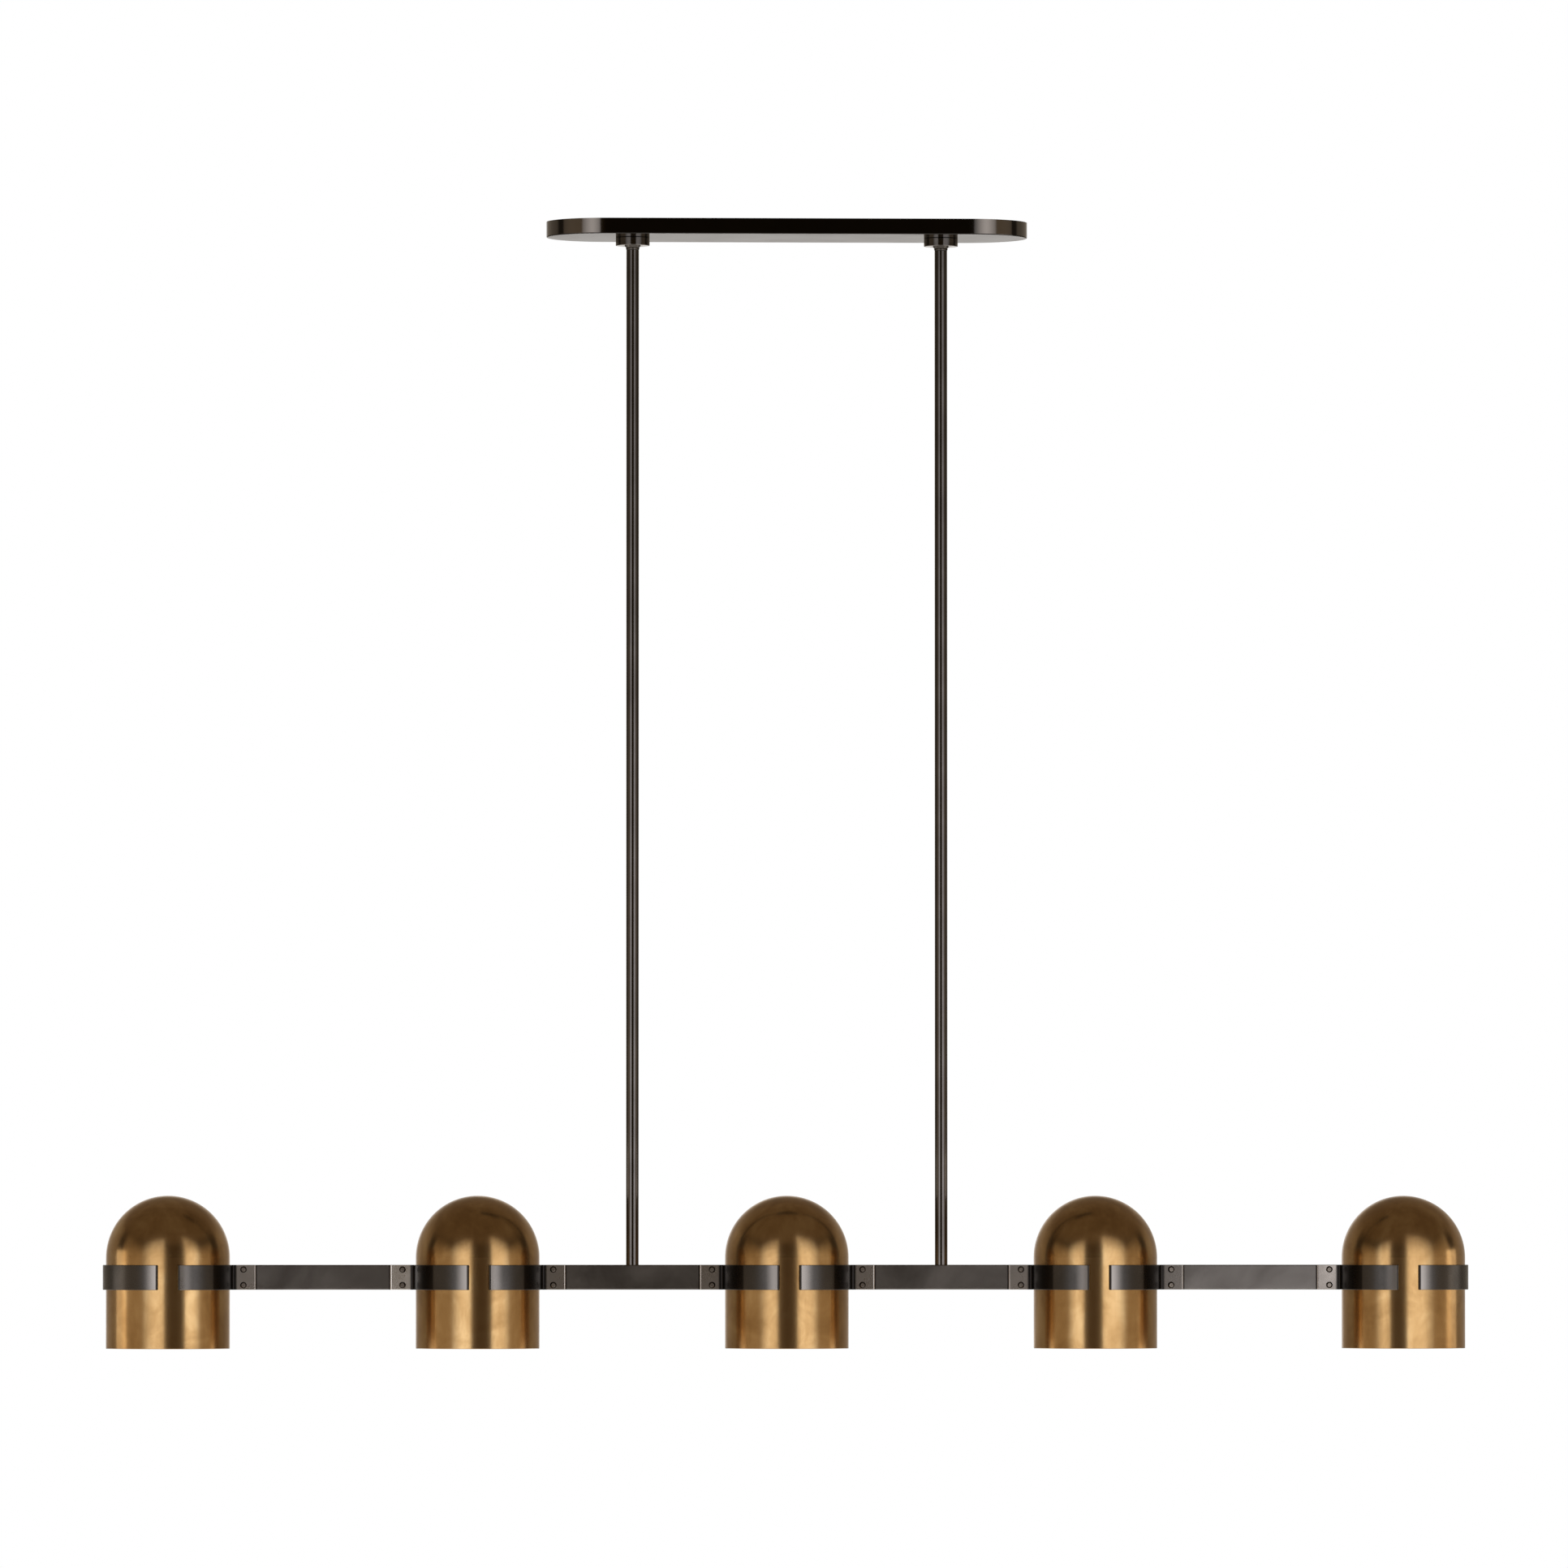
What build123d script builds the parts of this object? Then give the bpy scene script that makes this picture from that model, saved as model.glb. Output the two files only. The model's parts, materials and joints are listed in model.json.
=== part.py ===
from build123d import *
import math
import os

# Linear island pendant: a long stadium canopy on the ceiling, two rigid rods on
# hang-straight ball swivels, a sectional bar, and five domed metal shades held in
# bent straps. Millimetres. The origin is the centre of the ceiling plane, X runs
# along the fixture, -Y is its front and +Z is up.

# ------------------------------------------------------------ driving sizes
drop = 1158.0                 # ceiling plane to the shades' rims
shade_count = 5
shade_pitch = 317.5
seat_gap = 0.05               # between pieces of one body that lie on each other
thread_gap = 0.05             # radial, between a thread and its tapped hole
hole_gap = 0.2                # radial, round a screw in a clearance hole

# Shades
shade_diameter = 127.0
shade_wall = 1.2
shade_straight = 93.2         # height of the cylinder under the dome
hem_height = 2.2
hem_thickness = 2.0
hem_edge = 0.4
wire_hole_radius = 4.0

# Bar
bar_height = 25.4
bar_depth = 16.0
bar_wall = 1.5
bar_edge_radius = 1.2
bar_above_rim = 73.0          # rim to the bar's centre line
bar_to_shade = 1.5            # open end of a bar to the shade's side
end_block_length = 21.0
end_block_inset = 1.0
lead_bore_radius = 3.75
anchor_length = 30.0
anchor_height = 10.0

# Straps
strap_thickness = 3.2
strap_height = 25.4
strap_bend_radius = 3.2
strap_tip_gap = 20.8          # between the two finger tips, across the shade's front
strap_reach = 90.0            # shade axis to the tab's end
strap_edge = 0.4
strap_end_radius = 1.6        # on the outer corners of a tip and of a tab's end
tab_screw_reach = 77.3        # shade axis to the tab's screws
tab_screw_spacing = 16.0
shade_screw_azimuth = 45.0    # from the shade's front and back
shade_tap_depth = 2.4

# Screws
screw_radius = 1.75
screw_head_radius = 3.3
screw_head_height = 1.85
screw_head_side = 0.35
screw_crown_radius = 1.9      # flat on top of the button head
screw_hex = 2.0
screw_hex_depth = 1.1
tab_screw_length = 8.0
shade_screw_tip_gap = 0.3     # screw's tip to the bottom of its tapped hole

# Rods and threaded nipples
rod_radius = 6.5
rod_bore_radius = 5.0
nipple_bore_radius = 3.25
nipple_length = 18.0
nipple_grip = 8.0             # length in the rod, or above the bridge

# Canopy
canopy_length = 495.3
canopy_width = 127.0
canopy_height = 16.0
canopy_wall = 1.2
canopy_edge_radius = 1.0

# Mounting plate
plate_width = 60.0
plate_thickness = 2.5
plate_flat = 190.0            # length of the part that lies on the ceiling
plate_step = 6.5              # ceiling to the top of the lowered ends
plate_past_swivel = 26.0
plate_bend_radius = 4.0
plate_corner_radius = 6.0
box_screw_near = 69.85        # the two spacings of a ceiling box's screws
box_screw_far = 88.9
box_slot_width = 4.5
anchor_hole_spacing = 160.0
anchor_hole_radius = 2.6
cable_hole_radius = 11.0
ground_screw_at = (26.0, 18.0)
ground_head_radius = 4.0
ground_head_height = 2.6
ground_slot_width = 1.0
ground_slot_depth = 0.8

# Swivels
cup_radius = 17.5
cup_height = 8.4
cup_floor = 3.0
cup_edge_radius = 0.8
spanner_hole_radius = 1.0
spanner_hole_depth = 2.0
spanner_circle_radius = 13.3
ball_radius = 10.0
ball_clearance = 0.3
ball_below_canopy = 3.0       # canopy underside to the ball's centre
ball_top = 5.5                # ball's centre to its flat top
bead_below_ball = 8.3
bead_ring_radius = 5.6
bead_wire_radius = 1.4
stem_length = 14.0
housing_radius = 13.0
housing_ceiling = 7.8         # ball's centre to the top of the housing's cavity
locknut_across_flats = 15.0
locknut_height = 2.5
neck_past_locknut = 0.2

# Lampholders, their bridges and the lamps
bridge_thickness = 2.0
bridge_width = 14.0
bridge_above_bar = 46.0       # bar's centre line to the bridge's underside
bridge_half_top = 46.0
bridge_foot_height = 15.0     # bar's centre line to the foot's upper bend
bridge_foot_drop = 8.0        # bar's centre line to the foot's lower end
bridge_bend_radius = 4.0
holder_height = 46.0
holder_radius = 18.0
holder_neck_radius = 15.0
holder_neck_height = 12.0
holder_cavity_radius = 14.5
holder_cavity_height = 32.0
shell_outer_radius = 14.2
shell_wall = 0.6
shell_inset = 1.0             # cavity's end to the shell's closed end
shell_lip_inset = 4.4         # holder's lip to the shell's open end
shell_hole_radius = 5.0       # in the shell's closed end, round the lamp's tip
lamp_cap_radius = 13.1
lamp_cap_length = 20.0
lamp_tip_radius = 4.0
lamp_tip_length = 5.5
lamp_tip_edge = 1.0
lamp_radius = 24.0
lamp_neck_radius = 14.0
lamp_neck_length = 4.0
lamp_length = 85.0
lamp_inset = 1.1              # screw shell's closed end to the lamp's tip

# Bushings and leads
bushing_flange_radius = 5.5
bushing_flange = 1.2
bushing_wall = 0.7
lead_radius = 1.4
lead_spacing = 3.0
lead_arch = 20.0              # height of a lead's turn above the bridge
lead_arch_rise = 0.5          # the turn's far side above its near side
lead_bend_share = 0.45        # share of a run that the arc at its end may take
lead_skin = 0.4               # between a lead and what it lies along
hole_stop = (0.6, 0.0)        # in a shade: share of its bore from the axis, height over the bar
rise_stop = (0.44, 18.0)
arch_stop_share = 0.35
bar_floor_reach = 24.0        # along the bar's floor from the rod
block_approach = 12.0         # from a bar's end block to where the lead leaves the floor
supply_front = (4.0, 17.0, 19.0, 9.0)   # in front of the plate, one for each point of the way
supply_along = (12.0, 42.0)   # from the swivel toward the middle
supply_back = (60.0, 26.0)    # from the middle, where the leads turn under the plate
supply_inward = 12.0          # behind the plate's front edge
supply_end = ((5.0, 5.0), (4.0, 3.6))   # from the middle, the two last points
supply_rise = 2.0
supply_below = 2.6            # lead radii above the canopy's floor
ground_side = 0.7             # from the earth screw's head
ground_way = ((5.0, 7.0, 2.0), (8.0, 6.0, 3.0), (5.0, 4.0, 1.0))

# ------------------------------------------------------------ worked-out places
shade_radius = shade_diameter / 2
shade_bore = shade_radius - shade_wall
rim_z = -drop
dome_z = rim_z + shade_straight
bar_z = rim_z + bar_above_rim
bar_top_z = bar_z + bar_height / 2
shade_places = [(i - (shade_count - 1) / 2) * shade_pitch for i in range(shade_count)]
bar_places = [x + shade_pitch / 2 for x in shade_places[:-1]]
bar_length = shade_pitch - 2 * (shade_radius + bar_to_shade)
swivel_x = shade_pitch / 2
swivel_places = {"left": -swivel_x, "right": swivel_x}

canopy_under_z = -canopy_height
cup_under_z = canopy_under_z - cup_height
ball_z = canopy_under_z - ball_below_canopy
bead_z = ball_z - bead_below_ball
rod_top_z = bead_z - bead_wire_radius
web_top_z = -plate_step
web_under_z = web_top_z - plate_thickness
seat_radius = ball_radius + ball_clearance
thread_radius = rod_bore_radius - thread_gap
cavity_top_z = ball_z + housing_ceiling
housing_under_z = cup_under_z + cup_floor

strap_inner = shade_radius + seat_gap
strap_outer = strap_inner + strap_thickness
tab_inner_y = bar_depth / 2 + seat_gap
tab_outer_y = tab_inner_y + strap_thickness
bridge_z = bar_z + bridge_above_bar
holder_top_z = bridge_z - seat_gap
holder_under_z = holder_top_z - holder_height
shell_top_z = holder_under_z + holder_cavity_height - shell_inset
lamp_top_z = shell_top_z - shell_wall - lamp_inset
lamp_bulge_z = lamp_top_z - lamp_length + lamp_radius

os.makedirs("parts", exist_ok=True)


def save(name, solids):
    """One STEP file per node; a group of like pieces is a compound of separate solids."""
    if len(solids) == 1:
        shape = solids[0]
    else:
        shape = Compound(children=solids)
    export_step(shape, f"parts/{name}.step")


def rod_shape(radius, z_low, z_high, x=0.0, y=0.0):
    """An upright cylinder between two heights."""
    height = z_high - z_low
    return Pos(x, y, (z_low + z_high) / 2) * Cylinder(radius, height)


def turned(profile):
    """A solid of revolution about Z from a closed list of (radius, height) points."""
    face = Plane.XZ * make_face(Polyline(*profile, close=True))
    return revolve(face, Axis.Z)


def sheet(points, bend_radius, thickness, width):
    """A bent strip: a centre line in (X, Z) with rounded bends, and a width along Y."""
    line = FilletPolyline(*points, radius=bend_radius)
    return extrude(Plane.XZ * trace(line, thickness), width / 2, both=True)


def button_screw(length):
    """A button-head socket screw, head up, its head's underside at z = 0."""
    rim = Polyline((0, 0), (screw_head_radius, 0), (screw_head_radius, screw_head_side))
    dome = RadiusArc(rim @ 1, (screw_crown_radius, screw_head_height), -screw_head_radius)
    top = Polyline(dome @ 1, (0, screw_head_height), (0, 0))
    head = revolve(Plane.XZ * make_face([rim, dome, top]), Axis.Z)
    socket = RegularPolygon(screw_hex / 2, 6, major_radius=False)
    socket_z = screw_head_height - screw_hex_depth
    head -= Pos(0, 0, socket_z) * extrude(socket, screw_hex_depth)
    return head + rod_shape(screw_radius, -length, 0)


def aimed(origin, direction):
    """A place whose local Z points along a direction."""
    return Plane(origin=origin, z_dir=direction).location


# ------------------------------------------------------------ canopy and plate
def mounting_plate():
    flat_x = plate_flat / 2
    end_x = swivel_x + plate_past_swivel
    flat_z = -plate_thickness / 2
    low_z = web_top_z - plate_thickness / 2
    low_x = flat_x + plate_step
    line = [(-end_x, low_z), (-low_x, low_z), (-flat_x, flat_z),
            (flat_x, flat_z), (low_x, low_z), (end_x, low_z)]
    plate = sheet(line, plate_bend_radius, plate_thickness, plate_width)
    corners = plate.edges().filter_by(Axis.Z).filter_by(lambda e: abs(e.center().X) > low_x)
    plate = fillet(corners, plate_corner_radius)
    cut = 4 * plate_step
    slot_length = (box_screw_far - box_screw_near) / 2 + box_slot_width
    slot_x = (box_screw_far + box_screw_near) / 4
    slot = extrude(SlotOverall(slot_length, box_slot_width), cut / 2, both=True)
    for side in (-1, 1):
        plate -= Pos(side * slot_x, 0, 0) * slot
        plate -= Pos(side * anchor_hole_spacing / 2, 0, 0) * Cylinder(anchor_hole_radius, cut)
        plate -= Pos(side * swivel_x, 0, 0) * Cylinder(rod_bore_radius + hole_gap, cut)
    plate -= Cylinder(cable_hole_radius, cut)
    plate -= Pos(*ground_screw_at, 0) * Cylinder(screw_radius + thread_gap, cut)
    return plate


def canopy_pan():
    outer = extrude(SlotOverall(canopy_length, canopy_width), -canopy_height)
    outer = fillet(outer.faces().sort_by(Axis.Z)[0].edges(), canopy_edge_radius)
    inside = SlotOverall(canopy_length - 2 * canopy_wall, canopy_width - 2 * canopy_wall)
    pan = outer - extrude(inside, canopy_wall - canopy_height)
    for x in swivel_places.values():
        pan -= Pos(x, 0, 0) * Cylinder(housing_radius + hole_gap, 3 * canopy_height)
    return pan


def ground_screw():
    head_z = -plate_thickness - seat_gap
    head = extrude(RegularPolygon(ground_head_radius, 6, major_radius=False), -ground_head_height)
    cutter = Box(3 * ground_head_radius, ground_slot_width, 2 * ground_slot_depth)
    slot = Pos(0, 0, -ground_head_height) * cutter
    screw = head - slot + rod_shape(screw_radius, 0, plate_thickness)
    return Pos(*ground_screw_at, head_z) * screw


# ------------------------------------------------------------ swivels
def swivel_housing(x):
    """The threaded socket that hangs from the plate and covers the ball."""
    neck_top = web_top_z + locknut_height + neck_past_locknut
    housing = rod_shape(housing_radius, housing_under_z, web_under_z)
    housing += rod_shape(thread_radius, web_under_z, neck_top)
    cavity = Pos(0, 0, ball_z) * Sphere(seat_radius)
    cavity -= rod_shape(2 * seat_radius, cavity_top_z, cavity_top_z + 2 * seat_radius)
    housing -= cavity
    housing -= rod_shape(seat_radius, housing_under_z, ball_z)
    housing -= rod_shape(nipple_bore_radius, ball_z, neck_top)
    return Pos(x, 0, 0) * housing


def swivel_cup(x):
    """The cup that screws on the housing, holds up the canopy and carries the ball."""
    cup = rod_shape(cup_radius, cup_under_z, canopy_under_z)
    cup = fillet(cup.faces().sort_by(Axis.Z)[0].edges(), cup_edge_radius)
    cup -= rod_shape(housing_radius + 3 * thread_gap, housing_under_z, canopy_under_z)
    cup -= Pos(0, 0, ball_z) * Sphere(seat_radius)
    for hole in PolarLocations(spanner_circle_radius, 4, start_angle=45):
        drill = rod_shape(spanner_hole_radius, cup_under_z, cup_under_z + spanner_hole_depth)
        cup -= hole * drill
    return Pos(x, 0, 0) * cup


def locknut(x):
    nut = extrude(RegularPolygon(locknut_across_flats / 2, 6, major_radius=False), locknut_height)
    nut -= Cylinder(thread_radius + thread_gap, 3 * locknut_height)
    return Pos(x, 0, web_top_z) * nut


def swivel_ball(x):
    """The hollow ball, its bead and the stem that screws into the rod."""
    ball = Pos(0, 0, ball_z) * Sphere(ball_radius)
    ball -= rod_shape(2 * ball_radius, ball_z + ball_top, ball_z + 2 * ball_radius)
    ball += Pos(0, 0, bead_z) * Torus(bead_ring_radius, bead_wire_radius)
    ball += rod_shape(bead_ring_radius, rod_top_z, bead_z)
    ball += rod_shape(thread_radius, rod_top_z - stem_length, bead_z)
    ball -= rod_shape(nipple_bore_radius, rod_top_z - 2 * stem_length, 0)
    return Pos(x, 0, 0) * ball


# ------------------------------------------------------------ rods and bar
def rod(x):
    tube = rod_shape(rod_radius, bar_top_z, rod_top_z)
    tube -= rod_shape(rod_bore_radius, bar_top_z, rod_top_z)
    return Pos(x, 0, 0) * tube


def nipple(x, z_top):
    """A hollow threaded nipple, from its top downwards."""
    pipe = rod_shape(thread_radius, z_top - nipple_length, z_top)
    pipe -= rod_shape(nipple_bore_radius, z_top - nipple_length, z_top)
    return Pos(x, 0, 0) * pipe


def holds_rod(x):
    return any(abs(x - place) < 1.0 for place in swivel_places.values())


def tab_screw_places(x):
    """The (x, z) of the four tab screws on one face of the bar that is centred at x."""
    reach = shade_pitch / 2 - tab_screw_reach
    return [(x + side * reach, bar_z + level * tab_screw_spacing / 2)
            for side in (-1, 1) for level in (-1, 1)]


def bar(x):
    outline = RectangleRounded(bar_depth, bar_height, bar_edge_radius)
    inside = Rectangle(bar_depth - 2 * bar_wall, bar_height - 2 * bar_wall)
    tube = extrude(Plane.YZ * (outline - inside), bar_length / 2, both=True)
    tube = Pos(x, 0, bar_z) * tube
    across = Rot(90, 0, 0) * Cylinder(screw_radius + hole_gap, 2 * bar_depth)
    for place_x, place_z in tab_screw_places(x):
        tube -= Pos(place_x, 0, place_z) * across
    if holds_rod(x):
        tube -= rod_shape(rod_bore_radius + thread_gap, bar_z, bar_top_z + 1, x)
    return tube


def end_blocks(x):
    """The two tapped blocks that fill the ends of one bar."""
    block_depth = bar_depth - 2 * bar_wall - 2 * seat_gap
    block_height = bar_height - 2 * bar_wall - 2 * seat_gap
    centre = bar_length / 2 - end_block_inset - end_block_length / 2
    along = Rot(0, 90, 0) * Cylinder(lead_bore_radius, 2 * end_block_length)
    across = Rot(90, 0, 0) * Cylinder(screw_radius + thread_gap, 2 * bar_depth)
    blocks = []
    for side in (-1, 1):
        place = Pos(x + side * centre, 0, bar_z)
        block = place * (Box(end_block_length, block_depth, block_height) - along)
        for place_x, place_z in tab_screw_places(x):
            block -= Pos(place_x, 0, place_z) * across
        blocks.append(block)
    return blocks


def anchor_block(x):
    """The tapped block under the bar's top wall that takes the rod's nipple."""
    depth = bar_depth - 2 * bar_wall - 2 * seat_gap
    top = bar_top_z - bar_wall - seat_gap
    block = Pos(x, 0, top - anchor_height / 2) * Box(anchor_length, depth, anchor_height)
    return block - rod_shape(rod_bore_radius, top - 2 * anchor_height, top + 1, x)


# ------------------------------------------------------------ shades and straps
def shade(x, wire_sides):
    """A spun shade: cylinder, dome and a thickened hem, drilled for screws and leads."""
    hem = shade_radius - hem_thickness
    slope = hem_thickness - shade_wall
    top_z = dome_z + shade_radius
    apex_z = top_z - shade_wall
    foot = Polyline((shade_bore, dome_z), (shade_bore, rim_z + hem_height + slope),
                    (hem, rim_z + hem_height), (hem, rim_z + hem_edge),
                    (hem + hem_edge, rim_z), (shade_radius - hem_edge, rim_z),
                    (shade_radius, rim_z + hem_edge), (shade_radius, dome_z))
    outside = CenterArc((0, dome_z), shade_radius, 0, 90)
    apex = Line((0, top_z), (0, apex_z))
    inside = CenterArc((0, dome_z), shade_bore, 0, 90)
    body = revolve(Plane.XZ * make_face([foot, outside, apex, inside]), Axis.Z)
    for turn in range(4):
        azimuth = shade_screw_azimuth + 90 * turn
        drill = Rot(0, 90, 0) * Cylinder(screw_radius + hole_gap, 4 * hem_thickness)
        body -= Rot(0, 0, azimuth) * Pos(shade_radius, 0, bar_z) * drill
    for side in wire_sides:
        drill = Rot(0, 90, 0) * Cylinder(wire_hole_radius, 4 * hem_thickness)
        body -= Pos(side * shade_radius, 0, bar_z) * drill
    return Pos(x, 0, 0) * body


def finger_angle():
    """Azimuth of a finger's tip, from the shade's front."""
    middle = strap_inner + strap_thickness / 2
    return math.degrees(math.asin(strap_tip_gap / 2 / middle))


def strap_blank(edges, corners):
    """A strap from its outline seen from above; the corners at its two outer ends are rounded."""
    outline = make_face(edges)
    rounded = [outline.vertices().sort_by_distance(corner)[0] for corner in corners]
    strap = extrude(fillet(rounded, strap_end_radius), strap_height / 2, both=True)
    ends = strap.edges().group_by(Axis.Z)
    return chamfer(ends[0] + ends[-1], strap_edge)


def tapped(strap, azimuths):
    """Blind tapped holes, from the strap's inner face, for the screws in the shade."""
    depth = shade_tap_depth + strap_thickness
    start = strap_inner - strap_thickness
    drill = Rot(0, 90, 0) * Cylinder(screw_radius + thread_gap, depth)
    for azimuth in azimuths:
        strap -= Rot(0, 0, azimuth - 90) * Pos(start + depth / 2, 0, 0) * drill
    return strap


def tab_strap():
    """Front right strap, about its shade's axis: a finger, an outward bend and a tab."""
    middle = strap_inner + strap_thickness / 2
    bend_middle = strap_bend_radius + strap_thickness / 2
    bend_y = -(tab_inner_y + strap_thickness / 2 + bend_middle)
    bend_x = math.sqrt((middle + bend_middle) ** 2 - bend_y ** 2)
    hug = math.degrees(math.atan2(bend_x, -bend_y))
    tip = finger_angle()
    edges = []
    ends = []
    for radius, bend in ((strap_inner, strap_bend_radius + strap_thickness),
                         (strap_outer, strap_bend_radius)):
        finger = CenterArc((0, 0), radius, tip - 90, hug - tip)
        elbow = CenterArc((bend_x, bend_y), bend, 90 + hug, -hug)
        tab = Line(elbow @ 1, (strap_reach, (elbow @ 1).Y))
        edges += [finger, elbow, tab]
        ends.append((finger @ 0, tab @ 1))
    edges += [Line(ends[0][0], ends[1][0]), Line(ends[0][1], ends[1][1])]
    strap = strap_blank(edges, ends[1])
    across = Rot(90, 0, 0) * Cylinder(screw_radius + hole_gap, 4 * tab_outer_y)
    for level in (-1, 1):
        strap -= Pos(tab_screw_reach, 0, level * tab_screw_spacing / 2) * across
    return tapped(strap, [shade_screw_azimuth])


def wrap_strap():
    """The strap round the outer side of an end shade, right-hand, about its axis."""
    tip = finger_angle()
    arcs = [CenterArc((0, 0), r, tip - 90, 180 - 2 * tip) for r in (strap_inner, strap_outer)]
    edges = arcs + [Line(arcs[0] @ end, arcs[1] @ end) for end in (0, 1)]
    strap = strap_blank(edges, (arcs[1] @ 0, arcs[1] @ 1))
    return tapped(strap, [shade_screw_azimuth, 180 - shade_screw_azimuth])


def save_straps():
    front_right = tab_strap()
    wrap_right = wrap_strap()
    last = shade_count - 1
    for number, x in enumerate(shade_places):
        place = Pos(x, 0, bar_z)
        for side, outermost in (("left", 0), ("right", last)):
            flip = side == "left"
            if number == outermost:
                piece = mirror(wrap_right, Plane.YZ) if flip else wrap_right
                save(f"strap_{number + 1}_{side}_wrap", [place * piece])
                continue
            front = mirror(front_right, Plane.YZ) if flip else front_right
            save(f"strap_{number + 1}_{side}_front", [place * front])
            save(f"strap_{number + 1}_{side}_back", [place * mirror(front, Plane.XZ)])


def strap_screws():
    screw = button_screw(tab_screw_length)
    screws = []
    for x in bar_places:
        for place_x, place_z in tab_screw_places(x):
            for face in (-1, 1):
                origin = (place_x, face * (tab_outer_y + seat_gap), place_z)
                screws.append(aimed(origin, (0, face, 0)) * screw)
    return screws


def foot_face():
    """Shade axis to the outer face of a bridge's foot: its edges meet the shade's bore."""
    return math.sqrt((shade_bore - seat_gap) ** 2 - (bridge_width / 2) ** 2)


def shade_screws(x):
    """Four screws from inside one shade: two hold the bridge, two only the straps."""
    bridged = foot_face() - bridge_thickness - seat_gap
    bare = math.sqrt((shade_bore - seat_gap) ** 2 - screw_head_radius ** 2)
    tip = strap_inner + shade_tap_depth - shade_screw_tip_gap
    screws = []
    for turn in range(4):
        azimuth = math.radians(shade_screw_azimuth + 90 * turn)
        seat = bridged if turn % 2 == 0 else bare
        ray = (math.cos(azimuth), math.sin(azimuth))
        origin = (x + seat * ray[0], seat * ray[1], bar_z)
        screws.append(aimed(origin, (-ray[0], -ray[1], 0)) * button_screw(tip - seat))
    return screws


# ------------------------------------------------------------ lampholders and lamps
def socket_bridge(x):
    """The bent strip across the inside of a shade that carries its lampholder."""
    foot = foot_face() - bridge_thickness / 2
    top = bridge_above_bar + bridge_thickness / 2
    line = [(-foot, -bridge_foot_drop), (-foot, bridge_foot_height), (-bridge_half_top, top),
            (bridge_half_top, top), (foot, bridge_foot_height), (foot, -bridge_foot_drop)]
    strip = sheet(line, bridge_bend_radius, bridge_thickness, bridge_width)
    strip -= rod_shape(rod_bore_radius, top - bridge_thickness, top + bridge_thickness)
    strip -= Rot(0, 90, 0) * Cylinder(screw_radius + hole_gap, 4 * shade_radius)
    return Pos(x, 0, bar_z) * Rot(0, 0, shade_screw_azimuth) * strip


def lampholder(x):
    cavity_top = holder_under_z + holder_cavity_height
    neck_z = holder_top_z - holder_neck_height
    slope = holder_radius - holder_neck_radius
    body = turned([(0, holder_under_z), (holder_radius, holder_under_z), (holder_radius, neck_z - slope),
                   (holder_neck_radius, neck_z), (holder_neck_radius, holder_top_z), (0, holder_top_z)])
    body -= rod_shape(holder_cavity_radius, holder_under_z, cavity_top)
    nipple_end = bridge_z + bridge_thickness + nipple_grip - nipple_length
    body -= rod_shape(rod_bore_radius, nipple_end, holder_top_z)
    body -= rod_shape(nipple_bore_radius, cavity_top, nipple_end)
    return Pos(x, 0, 0) * body


def screw_shell(x):
    inner = shell_outer_radius - shell_wall
    low = holder_under_z + shell_lip_inset
    shell = rod_shape(shell_outer_radius, low, shell_top_z)
    shell -= rod_shape(inner, low, shell_top_z - shell_wall)
    shell -= rod_shape(shell_hole_radius, low, shell_top_z)
    return Pos(x, 0, 0) * shell


def lamp(x):
    """A small screw-base lamp: contact tip, cap, neck and a round opal envelope."""
    cap_top = lamp_top_z - lamp_tip_length
    cap_low = cap_top - lamp_cap_length
    neck_low = cap_low - lamp_neck_length
    rise = neck_low - lamp_bulge_z
    reach = math.hypot(lamp_neck_radius, rise)
    touch = math.atan2(rise, lamp_neck_radius) - math.acos(lamp_radius / reach)
    side = (lamp_radius * math.cos(touch), lamp_bulge_z + lamp_radius * math.sin(touch))
    outline = Polyline((0, lamp_top_z), (lamp_tip_radius, lamp_top_z),
                       (lamp_tip_radius + lamp_tip_edge, lamp_top_z - lamp_tip_edge),
                       (lamp_cap_radius, cap_top),
                       (lamp_cap_radius, cap_low), (lamp_neck_radius, cap_low),
                       (lamp_neck_radius, neck_low), side)
    start = math.degrees(touch)
    bulge = CenterArc((0, lamp_bulge_z), lamp_radius, start, -(90 + start))
    axis = Line((0, lamp_bulge_z - lamp_radius), (0, lamp_top_z))
    return Pos(x, 0, 0) * revolve(Plane.XZ * make_face([outline, bulge, axis]), Axis.Z)


# ------------------------------------------------------------ bushings and leads
def bushing(x, side):
    """A plastic bushing in the shade's side hole, its flange inside the shade."""
    outer = math.sqrt((shade_bore - seat_gap) ** 2 - bushing_flange_radius ** 2)
    end = shade_radius + bar_to_shade - 2 * seat_gap
    neck = wire_hole_radius - 2 * seat_gap
    piece = rod_shape(bushing_flange_radius, outer - bushing_flange, outer)
    piece += rod_shape(neck, outer, end)
    piece -= rod_shape(neck - bushing_wall, outer - 2 * bushing_flange, end)
    return aimed((x, 0, bar_z), (side, 0, 0)) * piece


def lead(points):
    """A round lead: straight runs joined by the largest arcs that its runs allow."""
    spots = [Vector(*point) for point in points]
    runs = [b - a for a, b in zip(spots, spots[1:])]
    radii = []
    for before, after in zip(runs, runs[1:]):
        turn = math.radians(before.get_angle(after))
        shorter = min(before.length, after.length)
        radii.append(lead_bend_share * shorter / math.tan(turn / 2))
    path = FilletPolyline(*spots, radius=radii)
    solid = sweep(Plane(origin=path @ 0, z_dir=path % 0) * Circle(lead_radius), path=path)
    expected = math.pi * lead_radius ** 2 * path.length
    print(f"lead: smallest radius {min(radii):.1f}, volume {solid.volume / expected:.4f} of expected")
    return solid


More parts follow.
